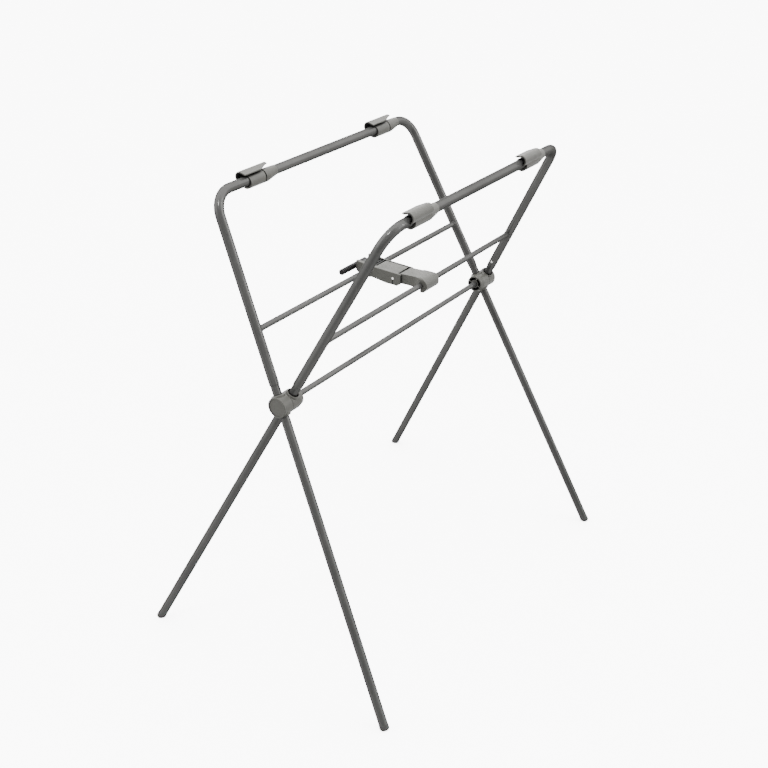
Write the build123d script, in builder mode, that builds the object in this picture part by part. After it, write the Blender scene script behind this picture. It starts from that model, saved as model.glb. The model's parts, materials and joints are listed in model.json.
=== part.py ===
from build123d import *
from math import cos, radians, sin, tan
import os

# Folding X-frame stand for a baby bath tub. Millimetres, +Z up, X along the pivot axle.
# Frame "a" has its top bar at +Y and its feet at -Y, and frame "b" the other way round.
# Each frame has an outer leg, which carries the hub cap, and an inner leg, one stagger nearer
# the middle. Frame "a" has its outer leg at the left (-X), frame "b" at the right (+X).

# ---------------------------------------------------------------- driving dimensions
pivot_height = 579.0  # axle above the floor
lean = 26.67  # of each frame from the vertical, when open
splay = {"a": 6.15, "b": 7.75}  # of each leg within its frame
leg_pitch = 728.0  # between the two leg axes of one frame, at the axle
stagger = 23.0  # between the legs of the two frames, along the axle
top_reach = 401.0  # axle to top bar, within the frame
cross_reach = 144.5  # axle to cross bar, within the frame
bend_radius = 48.0  # of the corners of the upper tube

upper_radius = 9.5
upper_wall = 1.0
upper_start = 40.0  # the upper tube ends this far above the axle
leg_radius = 9.0
leg_wall = 1.2
swage_radius = 8.45  # reduced end of the leg, which passes the hub into the upper tube
swage_top = 95.0
swage_start = -28.0
swage_taper = 7.0
bar_radius = 5.75  # cross bars and axle tube
bar_wall = 1.0

hub_radius = 20.0
hub_mouth_radius = 13.5
hub_mouth_reach = 20.5
socket_radius = 11.0
socket_floor = 15.0
hub_gap = 0.8  # between the two knuckles of a hub, for the washer
hub_outer_face = 11.5  # from the leg axis to the outer face
hub_inner_face = 22.5  # from the leg axis to the open inner face
hub_inner_radius = 17.5
leg_fit = 0.1
running_fit = 0.05

bolt_radius = 4.0
bolt_head_radius = 6.5
bolt_head_depth = 2.0
thread_radius = 3.1
cap_radius = 20.5
cap_depth = 1.9
cap_rim = 3.2
cap_recess = 0.9

button_height = 59.0  # above the axle, along the leg
button_radius = 2.8
button_proud = 2.1
button_dome = 1.4

foot_radius = 9.4
foot_tip = -2.6  # end of the plug, before it is cut flat, below the floor along the leg
foot_rounding = 3.5
foot_height = 9.0  # the leg tube ends this far above the floor, along the leg
foot_bevel = 0.6
foot_plug = 20.0  # length inside the tube

clip_starts = {("a", "left"): -240.0, ("a", "right"): 178.0, ("b", "left"): -236.0, ("b", "right"): 167.0}
clip_length = 82.0
clip_straight = 56.0
clip_radius = 13.2
clip_centre = (0.2, -2.5)  # the collar hangs a little below the bar
mouth_radius = 11.0
mouth_centre = (0, -1.2)
hook_length = {"a": 75.0, "b": 65.0}
hook_lead = 12.0  # the hook starts this far before its collar
hook_sheet = 2.2

latch_near = -9.5
latch_far = 40.0
latch_cheek = 4.5
latch_far_cheek = 2.8
rivet_radius = 2.5
pin_radius = 2.0

# ---------------------------------------------------------------- derived places
left, right = "left", "right"
outer_side = {"a": left, "b": right}
inner_side = {"a": right, "b": left}
legs = [(frame, side) for frame in ("a", "b") for side in (left, right)]
lean_cos, lean_sin = cos(radians(lean)), sin(radians(lean))
foot_reach = {f: pivot_height / lean_cos * tan(radians(splay[f])) for f in ("a", "b")}
# The origin is the middle of the footprint, so the wider foot moves the axle's middle off it.
middle = (foot_reach["a"] - foot_reach["b"]) / 2

frame_planes = {
    "a": Plane(origin=(middle, 0, pivot_height), x_dir=(1, 0, 0), z_dir=(0, -lean_cos, lean_sin)),
    "b": Plane(origin=(middle, 0, pivot_height), x_dir=(-1, 0, 0), z_dir=(0, lean_cos, lean_sin)),
}
outward = {"a": 1, "b": -1}  # Y direction of each frame's upper half
bar_y = cross_reach * lean_sin
bar_z = pivot_height + cross_reach * lean_cos
top_y = top_reach * lean_sin
top_z = pivot_height + top_reach * lean_cos
hinge_a = (bar_y, bar_z)
hinge_b = (-bar_y, bar_z)


def in_frame(frame, x, y):
    """A vector of the frame's own plane, from the middle of the axle."""
    plane = frame_planes[frame]
    return plane.x_dir * x + plane.y_dir * y


def leg_offset(frame, side):
    """Place of a leg on the axle, along its frame's own x: the outer leg is on the minus side."""
    if side == outer_side[frame]:
        return -(leg_pitch + stagger) / 2
    return (leg_pitch - stagger) / 2


def leg_plane(frame, side):
    """Origin on the axle, z up the leg, x towards the frame's middle."""
    offset = leg_offset(frame, side)
    inward = 1 if offset < 0 else -1
    angle = radians(splay[frame])
    return Plane(
        origin=frame_planes[frame].origin + in_frame(frame, offset, 0),
        x_dir=in_frame(frame, inward * cos(angle), -sin(angle)),
        z_dir=in_frame(frame, inward * sin(angle), cos(angle)),
    )


def side_plane(frame, side):
    """Plane of a leg's profile: x towards the frame's middle, y up the leg."""
    leg = leg_plane(frame, side)
    return Plane(origin=leg.origin, x_dir=leg.x_dir, z_dir=leg.x_dir.cross(leg.z_dir))


def leg_line(frame, side):
    leg = leg_plane(frame, side)
    return Axis(leg.origin, leg.z_dir)


def up_leg(frame, side, distance):
    leg = leg_plane(frame, side)
    return leg.origin + leg.z_dir * distance


def leg_length(frame):
    """From the axle to the floor along a leg."""
    return pivot_height / (lean_cos * cos(radians(splay[frame])))


def across(x):
    """Plane square to the axle at x: its x is Y and its y is Z."""
    return Plane.YZ.offset(x)


def finish(piece, label):
    piece.part.label = label
    export_step(piece.part, f"parts/{label}.step")


# ---------------------------------------------------------------- frames
def button_plane(frame, side, depth=0.0):
    """On the leg's axis at the snap button, z out of the leg's inner face."""
    leg = leg_plane(frame, side)
    return Plane(
        origin=up_leg(frame, side, button_height) + leg.x_dir * depth, x_dir=leg.z_dir, z_dir=leg.x_dir
    )


def frame_outline(frame):
    """Corner points of the upper tube's centre line, within its frame."""
    slope = tan(radians(splay[frame]))
    points = []
    for side in (outer_side[frame], inner_side[frame]):
        offset = leg_offset(frame, side)
        inward = 1 if offset < 0 else -1
        rise = upper_start * cos(radians(splay[frame]))
        ends = [(offset + inward * rise * slope, rise), (offset + inward * top_reach * slope, top_reach)]
        points += ends if inward > 0 else ends[::-1]
    return points


def make_upper_frame(frame):
    with BuildPart() as tube:
        with BuildLine(frame_planes[frame]) as run:
            FilletPolyline(*frame_outline(frame), radius=bend_radius)
        with BuildSketch(Plane(origin=run.line @ 0, z_dir=run.line % 0)):
            Circle(upper_radius)
            Circle(upper_radius - upper_wall, mode=Mode.SUBTRACT)
        sweep(path=run.line)
        for side in (left, right):
            with BuildSketch(button_plane(frame, side)):
                Circle(button_radius + 0.2)
            extrude(amount=2 * upper_radius, mode=Mode.SUBTRACT)
    finish(tube, f"upper_frame_{frame}")


def cross_bar_line(frame):
    """Ends of the cross bar, on the axes of the two legs."""
    slope = tan(radians(splay[frame]))
    return [
        in_frame(frame, leg_offset(frame, side) + inward * cross_reach * slope, cross_reach)
        + frame_planes[frame].origin
        for side, inward in ((outer_side[frame], 1), (inner_side[frame], -1))
    ]


def cut_legs(frame, radius):
    """Cut both legs' outside from what is being built."""
    for side in (left, right):
        with BuildSketch(leg_plane(frame, side)) as outside:
            Circle(radius)
        extrude(outside.sketch, amount=top_reach, mode=Mode.SUBTRACT)


def make_cross_bar(frame):
    start, end = cross_bar_line(frame)
    with BuildPart() as bar:
        with BuildSketch(Plane(origin=start, z_dir=end - start)):
            Circle(bar_radius)
            Circle(bar_radius - bar_wall, mode=Mode.SUBTRACT)
        extrude(amount=(end - start).length)
        cut_legs(frame, upper_radius)
    finish(bar, f"cross_bar_{frame}")


def make_welds(frame):
    """A weld bead round each end of the cross bar."""
    bead, straight = 1.9, 8.8
    start, end = cross_bar_line(frame)
    with BuildPart() as welds:
        for origin, direction in ((start, (end - start).normalized()), (end, (start - end).normalized())):
            with BuildSketch(Plane(origin=origin, z_dir=direction)):
                Circle(bar_radius + bead)
            extrude(amount=straight)
            with BuildSketch(Plane(origin=origin + direction * straight, z_dir=direction)):
                Circle(bar_radius + bead)
            extrude(amount=bead, taper=42)
        with BuildSketch(Plane(origin=start, z_dir=end - start)):
            Circle(bar_radius)
        extrude(amount=(end - start).length, mode=Mode.SUBTRACT)
        cut_legs(frame, upper_radius)
    finish(welds, f"welds_{frame}")


def make_lower_leg(frame, side):
    foot_end = foot_height - leg_length(frame)
    swage_end = swage_start + swage_taper
    inner, reduced = leg_radius - leg_wall, swage_radius - leg_wall
    with BuildPart() as leg:
        with BuildSketch(side_plane(frame, side)):
            with BuildLine():
                Polyline(
                    (leg_radius, foot_end),
                    (leg_radius, swage_start),
                    (swage_radius, swage_end),
                    (swage_radius, swage_top),
                    (reduced, swage_top),
                    (reduced, swage_end),
                    (inner, swage_start),
                    (inner, foot_end),
                    close=True,
                )
            make_face()
        revolve(axis=leg_line(frame, side))
        with BuildSketch(across(leg_plane(frame, side).origin.X)):
            with Locations((0, pivot_height)):
                Circle(bolt_radius + 0.3)
        extrude(amount=2 * leg_radius, both=True, mode=Mode.SUBTRACT)
        with BuildSketch(button_plane(frame, side)):
            Circle(button_radius + 0.2)
        extrude(amount=2 * leg_radius, mode=Mode.SUBTRACT)
    finish(leg, f"lower_leg_{frame}_{side}")


def make_foot(frame, side):
    """Rubber plug with a rounded tip, flat where it stands on the floor."""
    length = leg_length(frame)
    tip, tube_end = foot_tip - length, foot_height - length
    bore = leg_radius - leg_wall - running_fit
    rim = foot_radius - foot_rounding
    with BuildPart() as foot:
        with BuildSketch(side_plane(frame, side)):
            with BuildLine():
                Line((0, tip), (rim, tip))
                RadiusArc((rim, tip), (foot_radius, tip + foot_rounding), -foot_rounding)
                Polyline(
                    (foot_radius, tip + foot_rounding),
                    (foot_radius, tube_end - foot_bevel),
                    (foot_radius - foot_bevel, tube_end),
                    (bore, tube_end),
                    (bore, tube_end + foot_plug - foot_bevel),
                    (bore - foot_bevel, tube_end + foot_plug),
                    (0, tube_end + foot_plug),
                    (0, tip),
                )
            make_face()
        revolve(axis=leg_line(frame, side))
        with Locations(up_leg(frame, side, -length) - Vector(0, 0, 2 * foot_radius)):
            Box(8 * foot_radius, 8 * foot_radius, 4 * foot_radius, mode=Mode.SUBTRACT)
    finish(foot, f"foot_{frame}_{side}")


def make_button(frame, side):
    """Domed snap button with a flange that keeps it in the tube."""
    flange_radius, inner_end, flange_top = 4.0, 3.0, 5.9
    with BuildPart() as button:
        with BuildSketch(button_plane(frame, side, inner_end)):
            Circle(flange_radius)
        extrude(amount=flange_top - inner_end)
        with BuildSketch(button_plane(frame, side, inner_end)):
            Circle(button_radius)
        extrude(amount=upper_radius + button_proud - inner_end)
        outwards = Axis(button_plane(frame, side).origin, leg_plane(frame, side).x_dir)
        fillet(button.faces().sort_by(outwards)[-1].edges(), button_dome)
    finish(button, f"snap_button_{frame}_{side}")


def make_button_springs(frame):
    """A bent leaf spring behind each snap button, inside the leg."""
    half_width, leaf, low, high = 2.5, 0.5, 36.0, 66.0
    with BuildPart() as springs:
        for side in (left, right):
            with BuildSketch(side_plane(frame, side)):
                with BuildLine():
                    Polyline(
                        (-0.6, high),
                        (-0.6 - leaf, high),
                        (-0.6 - leaf, low + 4),
                        (-2.6, low + leaf),
                        (-4.4, low + leaf),
                        (-5.9, low + 4),
                        (-5.9, high),
                        (-5.9 - leaf, high),
                        (-5.9 - leaf, low + 3.8),
                        (-4.6, low),
                        (-2.4, low),
                        (-0.6, low + 3.8),
                        close=True,
                    )
                make_face()
            extrude(amount=half_width, both=True)
    finish(springs, f"button_springs_{frame}")


# ---------------------------------------------------------------- hubs
def cut_along_leg(frame, side, radius, start, depth):
    """Cut a round hole along the leg's axis from a distance above the axle."""
    leg = leg_plane(frame, side)
    mouth = Plane(origin=up_leg(frame, side, start), x_dir=leg.y_dir, z_dir=leg.z_dir)
    with BuildSketch(mouth) as bore:
        Circle(radius)
    extrude(bore.sketch, amount=depth, mode=Mode.SUBTRACT)


def cut_for_leg(frame, side):
    """Bore for the leg, with a wide recess round it in the knuckles of frame b."""
    cut_along_leg(frame, side, swage_radius + leg_fit, -2 * hub_radius, 4 * hub_radius)
    if frame == "b":
        cut_along_leg(frame, side, socket_radius, socket_floor, hub_radius)


def axle_disc(x, radius, depth, mode=Mode.ADD, centre=(0, pivot_height)):
    """A cylinder along X, from x to x + depth; round the axle unless it is told another centre."""
    with BuildSketch(across(x)) as disc:
        with Locations(centre):
            Circle(radius)
    extrude(disc.sketch, amount=depth, mode=mode)


def add_leg_mouth(frame, side, low, high):
    """Short sleeve round the leg, trimmed to the knuckle's width."""
    reach, bevel = hub_mouth_reach, 1.6
    with BuildSketch(side_plane(frame, side)) as profile:
        with BuildLine():
            Polyline(
                (0, -reach),
                (hub_mouth_radius - bevel, -reach),
                (hub_mouth_radius, bevel - reach),
                (hub_mouth_radius, reach - bevel),
                (hub_mouth_radius - bevel, reach),
                (0, reach),
                close=True,
            )
        make_face()
    revolve(profile.sketch, axis=leg_line(frame, side))
    with Locations(((low + high) / 2, 0, pivot_height)):
        Box(high - low, 4 * hub_radius, 4 * hub_radius, mode=Mode.INTERSECT)


def make_outer_knuckle(frame):
    side = outer_side[frame]
    x = leg_plane(frame, side).origin.X
    out = 1 if side == right else -1
    face = x + out * hub_outer_face
    joint = x - out * (stagger / 2 - hub_gap / 2)
    with BuildPart() as knuckle:
        add_leg_mouth(frame, side, min(face, joint), max(face, joint))
        axle_disc(joint, hub_radius, face - joint)
        axle_disc(x - 2 * hub_radius, bolt_radius + running_fit, 4 * hub_radius, Mode.SUBTRACT)
        axle_disc(face, bolt_head_radius + 0.3, -out * bolt_head_depth, Mode.SUBTRACT)
        with BuildSketch(across(face)):
            with Locations((0, pivot_height)):
                with PolarLocations(13.5, 2, start_angle=-lean * outward[frame]):
                    Circle(1.6)
        extrude(amount=-out * 3, mode=Mode.SUBTRACT)
        cut_for_leg(frame, side)
    finish(knuckle, f"knuckle_{frame}_{side}")


def make_inner_knuckle(frame):
    """Knuckle with an open inner end: four ribs hold the sleeve of the axle tube."""
    side = inner_side[frame]
    x = leg_plane(frame, side).origin.X
    out = 1 if side == right else -1
    face = x - out * hub_inner_face
    joint = x + out * (stagger / 2 - hub_gap / 2)
    shoulder = x - out * hub_outer_face
    pocket, pocket_outer, pocket_inner, rib = 10.0, 15.0, 9.0, 2.2
    with BuildPart() as knuckle:
        add_leg_mouth(frame, side, min(shoulder, joint), max(shoulder, joint))
        axle_disc(joint, hub_radius, shoulder - joint)
        for place, radius in ((shoulder, hub_radius), (face, hub_inner_radius)):
            with BuildSketch(across(place)):
                with Locations((0, pivot_height)):
                    Circle(radius)
        loft()
        cut_for_leg(frame, side)
        with BuildSketch(across(face)):
            with Locations((0, pivot_height)):
                Circle(pocket_outer)
                Circle(pocket_inner, mode=Mode.SUBTRACT)
                with PolarLocations(0, 2, start_angle=20, angular_range=180):
                    Rectangle(3 * hub_radius, rib, mode=Mode.SUBTRACT)
        extrude(amount=out * pocket, mode=Mode.SUBTRACT)
        axle_disc(face, bar_radius + running_fit, out * (hub_inner_face - hub_outer_face), Mode.SUBTRACT)
        axle_disc(x - 2 * hub_radius, bolt_radius + running_fit, 4 * hub_radius, Mode.SUBTRACT)
    finish(knuckle, f"knuckle_{frame}_{side}")


def make_hub_cap(frame):
    """Plain disc over the bolt head, with a raised rim and two pegs."""
    side = outer_side[frame]
    out = 1 if side == right else -1
    face = leg_plane(frame, side).origin.X + out * hub_outer_face
    with BuildPart() as cap:
        axle_disc(face, cap_radius, out * cap_depth)
        fillet(cap.faces().sort_by(Axis.X)[0 if out < 0 else -1].edges(), 0.9)
        axle_disc(face + out * cap_depth, cap_radius - cap_rim, -out * cap_recess, Mode.SUBTRACT)
        with BuildSketch(across(face)):
            with Locations((0, pivot_height)):
                with PolarLocations(13.5, 2, start_angle=-lean * outward[frame]):
                    Circle(1.5)
        extrude(amount=-out * 2.6)
    finish(cap, f"hub_cap_{side}")


def make_axle():
    inner = min(abs(leg_offset("a", right)), abs(leg_offset("b", left)))
    half = inner - hub_outer_face
    with BuildPart() as tube:
        axle_disc(middle - half, bar_radius, 2 * half)
        axle_disc(middle - half, bar_radius - bar_wall, 2 * half, Mode.SUBTRACT)
    finish(tube, "axle_tube")
    for side, out in ((left, -1), (right, 1)):
        with BuildPart() as insert:
            axle_disc(middle + out * half, bar_radius - bar_wall, -out * 20)
            axle_disc(middle + out * half, thread_radius + running_fit, -out * 20, Mode.SUBTRACT)
        finish(insert, f"axle_insert_{side}")
        face = middle + out * ((leg_pitch + stagger) / 2 + hub_outer_face)
        shank_end = middle + out * (half + 0.4)
        with BuildPart() as bolt:
            axle_disc(face, bolt_head_radius, -out * bolt_head_depth)
            with BuildSketch(across(face)):
                with Locations((0, pivot_height)):
                    RegularPolygon(2.5, 6)
            extrude(amount=-out * 1.4, mode=Mode.SUBTRACT)
            axle_disc(face - out * bolt_head_depth, bolt_radius, shank_end - face + out * bolt_head_depth)
            axle_disc(shank_end, thread_radius, -out * 16)
        finish(bolt, f"pivot_bolt_{side}")
        joint = middle + out * leg_pitch / 2
        with BuildPart() as washer:
            axle_disc(joint - 0.35, 12, 0.7)
            axle_disc(joint - 0.35, bolt_radius + 0.1, 0.7, Mode.SUBTRACT)
        finish(washer, f"pivot_washer_{side}")


# ---------------------------------------------------------------- rim clips on the top bars
def clip_plane(frame, side, along):
    """Square to the top bar, with x outwards and y up, at a distance from the collar's start."""
    return Plane(
        origin=(clip_starts[frame, side] + middle + along, outward[frame] * top_y, top_z),
        x_dir=(0, outward[frame], 0),
        z_dir=(outward[frame], 0, 0),
    )


hook_centre = (5.5, 9.0)
hook_radius = 11.0
flap_end = (-8.0, 16.6)


def hook_point(radius, angle):
    return (hook_centre[0] + radius * cos(radians(angle)), hook_centre[1] + radius * sin(radians(angle)))


def make_clip(frame, side):
    """Collar round the top bar with a curled hook over it, open towards the stand's middle."""
    run = outward[frame]
    inner = hook_radius - hook_sheet
    with BuildPart() as clip:
        with BuildSketch(clip_plane(frame, side, 0)):
            with Locations(clip_centre):
                Circle(clip_radius)
        extrude(amount=run * clip_straight)
        with BuildSketch(clip_plane(frame, side, clip_straight)):
            with Locations(clip_centre):
                Circle(clip_radius)
        with BuildSketch(clip_plane(frame, side, clip_length)):
            Circle(upper_radius + 0.7)
        loft()
        with BuildSketch(clip_plane(frame, side, -hook_lead)):
            with BuildLine():
                ThreePointArc(
                    hook_point(hook_radius, -60),
                    hook_point(hook_radius, 15),
                    hook_point(hook_radius, 90),
                )
                Polyline(
                    hook_point(hook_radius, 90),
                    flap_end,
                    (flap_end[0], flap_end[1] - hook_sheet),
                    hook_point(inner, 90),
                )
                ThreePointArc(hook_point(inner, 90), hook_point(inner, 15), hook_point(inner, -60))
                Line(hook_point(inner, -60), hook_point(hook_radius, -60))
            make_face()
        extrude(amount=run * hook_length[frame])
        start = clip_starts[frame, side] + middle
        wall = Plane(origin=(start, run * (top_y + 9), top_z), x_dir=(1, 0, 0), z_dir=(0, -1, 0))
        with BuildSketch(wall):
            with BuildLine():
                Polyline((48, 17.5), (90, 17.5), (90, -2), (76, -2), close=True)
            make_face()
        extrude(amount=-run * 12, mode=Mode.SUBTRACT)
        with BuildSketch(Plane.XY.offset(top_z + clip_radius + 0.3)):
            with BuildLine():
                Polyline(
                    (start + 34, run * (top_y + flap_end[0] - 1)),
                    (start + 34, run * (top_y + flap_end[0])),
                    (start + 58, run * (top_y + 1)),
                    (start + 70, run * (top_y + 2)),
                    (start + 70, run * (top_y + flap_end[0] - 1)),
                    close=True,
                )
            make_face()
        extrude(amount=clip_radius, mode=Mode.SUBTRACT)
        with BuildSketch(clip_plane(frame, side, 0)):
            with Locations(clip_centre):
                Circle(clip_radius)
        extrude(amount=run * clip_straight)
        with BuildSketch(clip_plane(frame, side, clip_straight)):
            with Locations(clip_centre):
                Circle(clip_radius)
        with BuildSketch(clip_plane(frame, side, clip_length)):
            Circle(upper_radius + 0.7)
        loft()
        with BuildSketch(clip_plane(frame, side, -hook_lead)):
            Circle(upper_radius + 0.05)
        extrude(amount=run * 2 * clip_length, mode=Mode.SUBTRACT)
        with BuildSketch(clip_plane(frame, side, 0)):
            with Locations(mouth_centre):
                Circle(mouth_radius)
        extrude(amount=run * 10, mode=Mode.SUBTRACT)
        with BuildSketch(clip_plane(frame, side, 43)):
            with Locations((-8, -2)):
                Rectangle(24, 29.6)
        extrude(amount=run * 3, mode=Mode.SUBTRACT)
    finish(clip, f"rim_clip_{frame}_{side}")


def make_clip_liner(frame, side):
    """Rubber strip inside the hook, and the rubber ring in the collar's mouth."""
    run = outward[frame]
    outer, inner = hook_radius - hook_sheet - 0.1, hook_radius - hook_sheet - 1.5
    drop = (hook_point(hook_radius, 90)[1] - flap_end[1]) / (hook_point(hook_radius, 90)[0] - flap_end[0])
    end_x = -5.5
    fall = drop * (hook_centre[0] - end_x)
    with BuildPart() as liner:
        with BuildSketch(clip_plane(frame, side, 0.5 - hook_lead)):
            with BuildLine():
                ThreePointArc(hook_point(outer, -5), hook_point(outer, 45), hook_point(outer, 90))
                Polyline(
                    hook_point(outer, 90),
                    (end_x, hook_point(outer, 90)[1] - fall),
                    (end_x, hook_point(inner, 90)[1] - fall),
                    hook_point(inner, 90),
                )
                ThreePointArc(hook_point(inner, 90), hook_point(inner, 45), hook_point(inner, -5))
                Line(hook_point(inner, -5), hook_point(outer, -5))
            make_face()
        extrude(amount=run * (hook_lead + 32))
        with BuildSketch(clip_plane(frame, side, 0.8)):
            with Locations(mouth_centre):
                Circle(mouth_radius - 0.1)
            Circle(upper_radius + 0.05, mode=Mode.SUBTRACT)
        extrude(amount=run * 9)
    finish(liner, f"clip_liner_{frame}_{side}")


# ---------------------------------------------------------------- folding latch
panel_under = 716.8
panel_end = -9.5
panel_undercut = -6.0
far_slot = 33.7
pocket_front = 45.0
pocket_floor = 716.0
notch_depth = 2.4
notch_half = 0.8
pin_cover = 2.0
channel_end = 46.8
lever_pin = (80.5, 713.0)
grip_centre = (97.5, 711.0)
clamp_front, clamp_rear, clamp_low = 54.5, 75.5, 696.5
screw_rows = (56.8, 73.1)
screw_columns = (2.0, 29.0)


def slab(near, far, front, rear, low, high, mode=Mode.SUBTRACT):
    """A box between the latch's own limits: X from the latch's offset, Y and Z."""
    with Locations((middle + (near + far) / 2, (front + rear) / 2, (low + high) / 2)):
        Box(far - near, rear - front, high - low, mode=mode)


def latch_disc(x, centre, radius, depth, mode=Mode.ADD):
    axle_disc(middle + x, radius, depth, mode, centre)


def latch_bore(centre, radius):
    """A bore along X through the whole width of the latch."""
    latch_disc(latch_near - 1, centre, radius, latch_far - latch_near + 2, Mode.SUBTRACT)


def make_latch_housing():
    """Channel that hangs on cross bar a, open below, with the pocket of the release lever."""
    low_side = 690.0
    with BuildPart() as housing:
        with BuildSketch(across(middle + latch_near)):
            with BuildLine():
                Polyline(
                    (-18, 699.5),
                    (-18, 720),
                    (45, 721.5),
                    (91, 725),
                    (91, 706),
                    (86.5, 701),
                    (50, 698),
                    (18, 694),
                    (-10, 693.7),
                    close=True,
                )
            make_face()
        extrude(amount=latch_far - latch_near)
        fillet(housing.edges().filter_by(Axis.X).sort_by(Axis.Y)[:2], 3)
        fillet(housing.faces().sort_by(Axis.X)[0].edges(), 1.0)
        cheek = latch_near + latch_cheek
        far_cheek = latch_far - latch_far_cheek
        slab(cheek, far_cheek, -30, channel_end, low_side, panel_under)
        with BuildSketch(across(middle + cheek)):
            with BuildLine():
                Polyline(
                    (-30, low_side),
                    (panel_undercut, low_side),
                    (panel_undercut, panel_under),
                    (panel_end, 720.6),
                    (panel_end, 730),
                    (-30, 730),
                    close=True,
                )
            make_face()
        extrude(amount=far_cheek - cheek, mode=Mode.SUBTRACT)
        slab(far_slot, far_cheek, -30, 74, pocket_floor, 730)
        slab(0, far_cheek, pocket_front, 75, pocket_floor, 730)
        slab(-2, 34.4, 72, 95, 706, 730)
        slab(latch_near - 1, latch_far + 1, clamp_front, clamp_rear, low_side, bar_z)
        latch_bore(hinge_a, bar_radius + running_fit)
        latch_bore((0, bar_z), rivet_radius)
        slab(latch_near - 1, latch_near + notch_depth, -notch_half, notch_half, low_side, bar_z)
        latch_disc(latch_near + pin_cover, lever_pin, pin_radius, latch_far - latch_near, Mode.SUBTRACT)
        for y in screw_rows:
            for x in screw_columns:
                with Locations((middle + x, y, bar_z)):
                    Cylinder(1.25, 2 * 7.5, mode=Mode.SUBTRACT)
    finish(housing, "latch_housing")


def make_latch_clamp_cap():
    """Lower half of the clamp round cross bar a."""
    with BuildPart() as cap:
        slab(
            latch_near, latch_far, clamp_front + 0.1, clamp_rear - 0.1, clamp_low, bar_z - 0.1, mode=Mode.ADD
        )
        fillet(cap.faces().sort_by(Axis.Z)[0].edges(), 1.5)
        latch_bore(hinge_a, bar_radius + running_fit)
        for y in screw_rows:
            for x in screw_columns:
                with Locations((middle + x, y, clamp_low)):
                    Cylinder(1.3, 40, mode=Mode.SUBTRACT)
                    Cylinder(1.9, 2 * 1.8, mode=Mode.SUBTRACT)
    finish(cap, "latch_clamp_cap")


def make_latch_screws():
    with BuildPart() as screws:
        for y in screw_rows:
            for x in screw_columns:
                head = Plane(origin=(middle + x, y, clamp_low + 0.2), z_dir=(0, 0, 1))
                with BuildSketch(head):
                    Circle(1.85)
                extrude(amount=1.6)
                with BuildSketch(head):
                    Circle(1.2)
                extrude(amount=14)
                with BuildSketch(head):
                    Rectangle(2.6, 0.5)
                    Rectangle(0.5, 2.6)
                extrude(amount=0.8, mode=Mode.SUBTRACT)
    finish(screws, "latch_screws")


def make_latch_pins():
    with BuildPart() as studs:
        for start, length in (
            (latch_near - 0.4, latch_cheek + 0.4),
            (latch_far - latch_far_cheek, latch_far_cheek + 0.4),
        ):
            latch_disc(start, (0, bar_z), rivet_radius, length)
    finish(studs, "latch_rivets")
    with BuildPart() as pin:
        latch_disc(latch_near + pin_cover, lever_pin, pin_radius, latch_far - latch_near - pin_cover + 0.4)
    finish(pin, "lever_pin")


def make_hook_arm():
    """Front half of the latch: a blade beside the rivet's far stud and a hook over cross bar b."""
    front, rear, low = -82.5, -14.4, 699.5
    far_at_cheek, far_at_hook = 36.3, 39.6
    near_at_cheek, near_at_hook = middle - 4.6, middle - 8.6
    corner, edge = 7.0, 4.5
    y, z = hinge_b
    bore, hook_outside = bar_radius + running_fit, 15.4
    blade_near, blade_far, blade_radius = 34.7, 36.9, 6.0
    with BuildPart() as arm:
        with BuildSketch(across(near_at_hook - 1)):
            with BuildLine():
                Polyline(
                    (rear - 3, low),
                    (rear - 3, panel_under),
                    (rear, 720.2),
                    (-40, 721.4),
                    (-62, z + hook_outside),
                    (y, z),
                    (-56, 702),
                    (-58, low),
                    close=True,
                )
            make_face()
            with Locations(hinge_b):
                Circle(hook_outside)
        extrude(amount=middle + far_at_hook - near_at_hook + 1)
        with BuildSketch(Plane.XY.offset(z - 2 * hook_outside)):
            with BuildLine():
                Polyline(
                    (near_at_cheek, -10),
                    (near_at_cheek, -20),
                    (near_at_cheek + 1.2, -30),
                    (near_at_cheek + 1.2, -46),
                )
                Spline(
                    (near_at_cheek + 1.2, -46),
                    (near_at_hook, -66),
                    tangents=((0, -1), (0, -1)),
                )
                Line((near_at_hook, -66), (near_at_hook, front + corner))
                RadiusArc((near_at_hook, front + corner), (near_at_hook + corner, front), -corner)
                Line((near_at_hook + corner, front), (middle + far_at_hook - corner, front))
                RadiusArc(
                    (middle + far_at_hook - corner, front), (middle + far_at_hook, front + corner), -corner
                )
                Polyline(
                    (middle + far_at_hook, front + corner),
                    (middle + far_at_hook, -47),
                    (middle + far_at_hook - 1, -45),
                    (middle + far_at_cheek, -43),
                    (middle + far_at_cheek, -10),
                    (near_at_cheek, -10),
                )
            make_face()
        extrude(amount=4 * hook_outside, mode=Mode.INTERSECT)
        with BuildSketch(Plane.XZ.offset(10)):
            with Locations(((near_at_hook + middle + far_at_hook) / 2, z)):
                RectangleRounded(middle + far_at_hook - near_at_hook, 2 * hook_outside, edge)
        extrude(amount=80, mode=Mode.INTERSECT)
        with BuildSketch(across(near_at_hook - 1)):
            with Locations(hinge_b):
                Circle(bore)
            with BuildLine():
                Polyline(
                    (y, z),
                    (y - 0.8, z - 2 * hook_outside),
                    (y + 8.4, z - 2 * hook_outside),
                    (y + 8.4, low),
                    (y + 4.6, z - 3.6),
                    close=True,
                )
            make_face()
        extrude(amount=middle + far_at_hook - near_at_hook + 2, mode=Mode.SUBTRACT)
        slab(blade_near, blade_far, -42, 0, bar_z - blade_radius, bar_z + blade_radius, mode=Mode.ADD)
        latch_disc(blade_near, (0, bar_z), blade_radius, blade_far - blade_near)
        latch_disc(blade_near - 1, (0, bar_z), rivet_radius + running_fit, 4, Mode.SUBTRACT)
    finish(arm, "latch_hook_arm")


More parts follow.
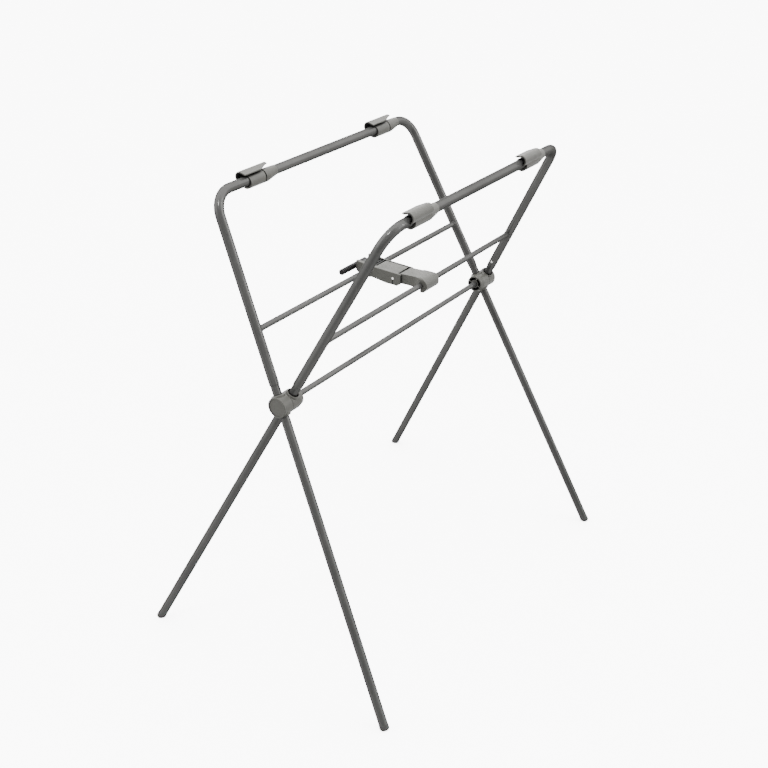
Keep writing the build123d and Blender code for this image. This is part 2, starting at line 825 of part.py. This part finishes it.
def make_release_lever():
    """Black lever: a ribbed grip behind the housing, and a ribbed plate in the housing's pocket."""
    near, far, grip_near = -1.5, 33.5, -52.0
    grip_radius, groove_radius, groove_pitch = 6.2, 5.0, 5.0
    plate_low, plate_top = pocket_floor + 0.6, 719.2
    with BuildPart() as lever:
        latch_disc(near, lever_pin, 5.0, far - near)
        slab(near, far, lever_pin[0], grip_centre[0], 709, 716, mode=Mode.ADD)
        latch_disc(grip_near, grip_centre, grip_radius, far - grip_near)
        fillet(lever.faces().sort_by(Axis.X)[0].edges(), 1.2)
        slab(1, 36.6, pocket_front + 3, 74, plate_low, plate_top, mode=Mode.ADD)
        slab(1, far, 72.4, lever_pin[0], 715.2, plate_top, mode=Mode.ADD)
        for y in (50, 56, 62, 68):
            slab(3, 35.2, y, y + 1.8, plate_top, plate_top + 1.8, mode=Mode.ADD)
        for step in range(7):
            with BuildSketch(across(middle + grip_near + 4 + groove_pitch * step)):
                with Locations(grip_centre):
                    Circle(grip_radius + 1)
                    Circle(groove_radius, mode=Mode.SUBTRACT)
            extrude(amount=2.2, mode=Mode.SUBTRACT)
        latch_disc(near - 1, lever_pin, pin_radius + running_fit, 60, Mode.SUBTRACT)
    finish(lever, "release_lever")


def make_lever_spring():
    with BuildPart() as spring:
        with BuildSketch(across(middle + 10)):
            with BuildLine():
                Polyline(
                    (76, 706.1),
                    (79, 706.1),
                    (88, 707.3),
                    (88, 707.8),
                    (79, 706.6),
                    (76, 706.6),
                    close=True,
                )
            make_face()
        extrude(amount=12)
    finish(spring, "lever_spring")


# ---------------------------------------------------------------- build
os.makedirs("parts", exist_ok=True)
for frame in ("a", "b"):
    make_upper_frame(frame)
    make_cross_bar(frame)
    make_welds(frame)
    make_button_springs(frame)
    make_outer_knuckle(frame)
    make_inner_knuckle(frame)
    make_hub_cap(frame)
for frame, side in legs:
    make_lower_leg(frame, side)
    make_foot(frame, side)
    make_button(frame, side)
    make_clip(frame, side)
    make_clip_liner(frame, side)
make_axle()
make_latch_housing()
make_latch_clamp_cap()
make_latch_screws()
make_latch_pins()
make_hook_arm()
make_release_lever()
make_lever_spring()
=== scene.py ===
import json
import math

import bpy
from mathutils import Matrix, Vector

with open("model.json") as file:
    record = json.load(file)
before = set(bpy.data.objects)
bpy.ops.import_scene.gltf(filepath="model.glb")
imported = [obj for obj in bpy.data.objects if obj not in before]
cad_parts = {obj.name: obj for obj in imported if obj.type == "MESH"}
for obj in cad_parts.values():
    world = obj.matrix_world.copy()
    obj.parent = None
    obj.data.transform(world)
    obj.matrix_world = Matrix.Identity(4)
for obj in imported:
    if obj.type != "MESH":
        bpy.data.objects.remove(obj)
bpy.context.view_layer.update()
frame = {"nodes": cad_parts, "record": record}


# ---------------------------------------------------------------- materials
noise_range = (0.3, 0.7)  # where nearly all of a noise texture's values lie
# near-black colour of the painted shade laid into slots and corners
painted_shade_colour = (0.002, 0.002, 0.002)


class Shader:
    """A Principled material with helpers for procedural layers, all in object coordinates."""

    def __init__(self, name):
        self.material = bpy.data.materials.new(name)
        self.material.use_nodes = True
        self.nodes = self.material.node_tree.nodes
        self.links = self.material.node_tree.links
        self.surface = next(n for n in self.nodes if n.type == "BSDF_PRINCIPLED")
        self.place = self.nodes.new("ShaderNodeTexCoord").outputs["Object"]
        self.normal = None

    def set(self, **values):
        for key, value in values.items():
            self.surface.inputs[key.replace("_", " ")].default_value = value
        return self

    def noise(self, scale, detail=4.0, rough=0.55, stretch=(1, 1, 1)):
        place = self.nodes.new("ShaderNodeMapping")
        place.inputs["Scale"].default_value = stretch
        self.links.new(self.place, place.inputs["Vector"])
        made = self.nodes.new("ShaderNodeTexNoise")
        made.inputs["Scale"].default_value = scale
        made.inputs["Detail"].default_value = detail
        made.inputs["Roughness"].default_value = rough
        self.links.new(place.outputs["Vector"], made.inputs["Vector"])
        return made.outputs["Fac"]

    def ramp(self, value, low, high):
        """From one colour to another over the middle of a noise's range."""
        made = self.nodes.new("ShaderNodeValToRGB")
        for element, position, colour in zip(made.color_ramp.elements, noise_range, (low, high)):
            element.position = position
            element.color = (*colour, 1)
        self.links.new(value, made.inputs["Fac"])
        return made.outputs["Color"]

    def span(self, value, low, high):
        made = self.nodes.new("ShaderNodeMapRange")
        made.inputs["From Min"].default_value = noise_range[0]
        made.inputs["From Max"].default_value = noise_range[1]
        made.inputs["To Min"].default_value = low
        made.inputs["To Max"].default_value = high
        self.links.new(value, made.inputs["Value"])
        return made.outputs["Result"]

    def mix(self, amount, a, b):
        made = self.nodes.new("ShaderNodeMix")
        made.data_type = "RGBA"
        self.links.new(amount, made.inputs["Factor"])
        for socket, source in (("A", a), ("B", b)):
            target = next(s for s in made.inputs if s.name == socket and s.type == "RGBA")
            if isinstance(source, tuple):
                target.default_value = (*source, 1)
            else:
                self.links.new(source, target)
        return next(s for s in made.outputs if s.type == "RGBA")

    def edges(self, radius, low=0.02, high=0.3):
        """1 on outside edges, 0 elsewhere: how far a bevelled normal is off the true one."""
        bevel = self.nodes.new("ShaderNodeBevel")
        bevel.inputs["Radius"].default_value = radius
        geometry = self.nodes.new("ShaderNodeNewGeometry")
        dot = self.nodes.new("ShaderNodeVectorMath")
        dot.operation = "DOT_PRODUCT"
        self.links.new(bevel.outputs["Normal"], dot.inputs[0])
        self.links.new(geometry.outputs["Normal"], dot.inputs[1])
        made = self.nodes.new("ShaderNodeMapRange")
        made.inputs["From Min"].default_value = 1 - low
        made.inputs["From Max"].default_value = 1 - high
        self.links.new(dot.outputs["Value"], made.inputs["Value"])
        return made.outputs["Result"]

    def painted_crevice_shade(self, body, reach, low=0.35, high=0.8):
        """Painted shade: darkens a colour where other surfaces stand close, in slots and corners."""
        shelter = self.nodes.new("ShaderNodeAmbientOcclusion")
        shelter.samples = 8
        shelter.inputs["Distance"].default_value = reach
        made = self.nodes.new("ShaderNodeMapRange")
        made.inputs["From Min"].default_value = low
        made.inputs["From Max"].default_value = high
        self.links.new(shelter.outputs["AO"], made.inputs["Value"])
        return self.mix(made.outputs["Result"], painted_shade_colour, body)

    def round_edges(self, radius):
        bevel = self.nodes.new("ShaderNodeBevel")
        bevel.samples = 6
        bevel.inputs["Radius"].default_value = radius
        self.normal = bevel.outputs["Normal"]
        self.links.new(self.normal, self.surface.inputs["Normal"])
        return self

    def bump(self, value, distance, strength=1.0):
        made = self.nodes.new("ShaderNodeBump")
        made.inputs["Distance"].default_value = distance
        made.inputs["Strength"].default_value = strength
        self.links.new(value, made.inputs["Height"])
        if self.normal is not None:
            self.links.new(self.normal, made.inputs["Normal"])
        self.normal = made.outputs["Normal"]
        self.links.new(self.normal, self.surface.inputs["Normal"])
        return self

    def colour(self, value):
        self.links.new(value, self.surface.inputs["Base Color"])
        return self

    def roughness(self, value):
        self.links.new(value, self.surface.inputs["Roughness"])
        return self


def tube_paint():
    """Satin powder coat: fine orange peel, soft mottling and a few scuffs."""
    s = Shader("tube_paint").set(Metallic=0.4, Specular_IOR_Level=0.0, Specular_Tint=(0.2, 0.2, 0.2, 1))
    body = s.ramp(s.noise(9, 5), (0.048, 0.0478, 0.0465), (0.062, 0.0617, 0.06))
    scuffs = s.span(s.noise(70, 3, 0.7, (1, 1, 0.25)), -0.9, 0.35)
    # scuffed mottled coat, with painted shade darkening it where other surfaces stand close
    s.colour(s.painted_crevice_shade(s.mix(scuffs, body, (0.08, 0.08, 0.0775)), 0.008))
    s.roughness(s.span(s.noise(26, 6, 0.6), 0.12, 0.18))
    s.bump(s.noise(900, 2), 0.00004)
    s.bump(s.noise(160, 3), 0.00008)
    return s.material


def moulded_plastic(name, dark, light, low, high, edge, grain=0.00006, shine=0.15):
    """Moulded plastic with a spark-eroded grain, slightly worn on its edges."""
    s = Shader(name).set(Specular_IOR_Level=shine)
    s.round_edges(edge)
    body = s.ramp(s.noise(14, 4), dark, light)
    worn = tuple(min(1.0, c * 1.35 + 0.01) for c in light)
    # lighter worn edges, with painted shade darkening the colour in slots and corners
    s.colour(s.painted_crevice_shade(s.mix(s.edges(0.0006), body, worn), 0.025))
    s.roughness(s.span(s.noise(55, 5, 0.65), low, high))
    s.bump(s.noise(1500, 2), grain)
    s.bump(s.noise(60, 3), grain * 1.5)
    return s.material


def rubber(name, dark, light):
    s = Shader(name).set(Specular_IOR_Level=0.06)
    s.round_edges(0.0004)
    s.colour(s.ramp(s.noise(40, 5), dark, light))
    s.roughness(s.span(s.noise(80, 5, 0.7), 0.62, 0.85))
    s.bump(s.noise(1200, 3), 0.0001)
    return s.material


def steel():
    s = Shader("steel").set(Metallic=1.0)
    s.round_edges(0.0002)
    s.colour(s.ramp(s.noise(120, 4), (0.52, 0.52, 0.5), (0.74, 0.74, 0.72)))
    s.roughness(s.span(s.noise(500, 4, 0.7, (1, 1, 6)), 0.22, 0.36))
    s.bump(s.noise(1800, 2, 0.6, (1, 1, 8)), 0.00002)
    return s.material


def grey_plastic():
    dark, light = (0.042, 0.0416, 0.0371), (0.053, 0.0525, 0.0469)
    return moulded_plastic("grey_plastic", dark, light, 0.42, 0.56, 0.0007)


def black_plastic():
    dark, light = (0.004, 0.004, 0.004), (0.007, 0.007, 0.007)
    return moulded_plastic("black_plastic", dark, light, 0.3, 0.45, 0.0005, shine=0.08)


def nylon():
    return moulded_plastic("nylon", (0.6, 0.59, 0.55), (0.7, 0.69, 0.65), 0.4, 0.5, 0.0002)


def insert_plastic():
    return moulded_plastic("insert_plastic", (0.04, 0.04, 0.04), (0.06, 0.06, 0.06), 0.5, 0.6, 0.0003)


paints = {
    "tube_paint": tube_paint(),
    "grey_plastic": grey_plastic(),
    "black_plastic": black_plastic(),
    "rubber": rubber("rubber", (0.008, 0.008, 0.008), (0.014, 0.014, 0.0135)),
    "foot_rubber": rubber("foot_rubber", (0.034, 0.034, 0.033), (0.045, 0.045, 0.0436)),
    "steel": steel(),
    "nylon": nylon(),
    "insert_plastic": insert_plastic(),
}
for row in frame["record"]["subparts"]:
    node = frame["nodes"][row["node"]]
    node.data.materials.clear()
    node.data.materials.append(paints[row["material_slot"]])


# ---------------------------------------------------------------- stage, light and camera
def stage_material():
    """Pale and slightly lit, so that it reads as white as the picture's background."""
    s = Shader("studio_floor").set(Specular_IOR_Level=0.1)
    s.set(Emission_Color=(1, 1, 1, 1), Emission_Strength=5.0)
    s.colour(s.ramp(s.noise(2.0, 2), (0.93, 0.93, 0.93), (0.95, 0.95, 0.95)))
    s.roughness(s.span(s.noise(6, 2), 0.85, 0.95))
    return s.material


bpy.ops.mesh.primitive_plane_add(size=60, location=(0, 0, -0.0002))
floor = bpy.context.object
floor.name = "studio_floor"
floor.data.materials.append(stage_material())
floor.visible_diffuse = False
floor.visible_glossy = False

# A white studio with a dim side behind the viewer and a dim lower half, so that the undersides
# and the edges of round tubes stay dark.
dim_side = (-0.78, -0.56, 0.28)
dim_side_start, dim_side_end = 0.35, 0.75
dim_side_light, lower_light, horizon_end, studio_strength = 0.2, 0.4, 0.25, 6.5


def make_studio():
    world = bpy.data.worlds.new("studio")
    bpy.context.scene.world = world
    world.use_nodes = True
    nodes, links = world.node_tree.nodes, world.node_tree.links
    direction = nodes.new("ShaderNodeTexCoord").outputs["Generated"]

    def grey_ramp(value, start, start_light, end, end_light):
        made = nodes.new("ShaderNodeValToRGB")
        for element, place, light in zip(made.color_ramp.elements, (start, end), (start_light, end_light)):
            element.position = place
            element.color = (light, light, light, 1)
        links.new(value, made.inputs["Fac"])
        return made.outputs["Color"]

    facing = nodes.new("ShaderNodeVectorMath")
    facing.operation = "DOT_PRODUCT"
    facing.inputs[1].default_value = dim_side
    links.new(direction, facing.inputs[0])
    side = grey_ramp(facing.outputs["Value"], dim_side_start, 1, dim_side_end, dim_side_light)
    split = nodes.new("ShaderNodeSeparateXYZ")
    links.new(direction, split.inputs["Vector"])
    height = grey_ramp(split.outputs["Z"], 0, lower_light, horizon_end, 1)
    product = nodes.new("ShaderNodeMix")
    product.data_type = "RGBA"
    product.blend_type = "MULTIPLY"
    product.inputs["Factor"].default_value = 1.0
    first, second = (i for i in product.inputs if i.type == "RGBA")
    links.new(side, first)
    links.new(height, second)
    background = nodes["Background"]
    links.new(next(o for o in product.outputs if o.type == "RGBA"), background.inputs["Color"])
    background.inputs["Strength"].default_value = studio_strength


make_studio()


def area_light(name, place, aim, size, power):
    data = bpy.data.lights.new(name, "AREA")
    data.shape = "RECTANGLE"
    data.size, data.size_y = size
    data.energy = power
    light = bpy.data.objects.new(name, data)
    turn = (Vector(place) - Vector(aim)).to_track_quat("Z", "Y").to_matrix().to_4x4()
    light.matrix_world = Matrix.Translation(place) @ turn
    bpy.context.collection.objects.link(light)


area_light("key", (-1.6, -0.2, 3.4), (0, 0, 0.6), (0.5, 0.5), 60)
area_light("side", (1.6, -2.6, 2.2), (0, 0, 0.6), (0.25, 1.8), 30)

camera_place = (-1.9260, -1.2493, 1.6717)
azimuth, elevation, roll = math.radians(-56.443), math.radians(27.853), math.radians(1.157)
lens, sensor = 57.32, 36


def make_camera():
    back = Vector(
        (
            math.sin(azimuth) * math.cos(elevation),
            -math.cos(azimuth) * math.cos(elevation),
            math.sin(elevation),
        )
    )
    right = Vector((math.cos(azimuth), math.sin(azimuth), 0))
    up = back.cross(right)
    data = bpy.data.cameras.new("camera")
    data.sensor_width = sensor
    data.lens = lens
    data.clip_end = 100
    camera = bpy.data.objects.new("camera", data)
    turned_right = right * math.cos(roll) + up * math.sin(roll)
    turned_up = up * math.cos(roll) - right * math.sin(roll)
    turn = Matrix((turned_right, turned_up, back)).transposed().to_4x4()
    camera.matrix_world = Matrix.Translation(camera_place) @ turn
    bpy.context.collection.objects.link(camera)
    bpy.context.scene.camera = camera


make_camera()
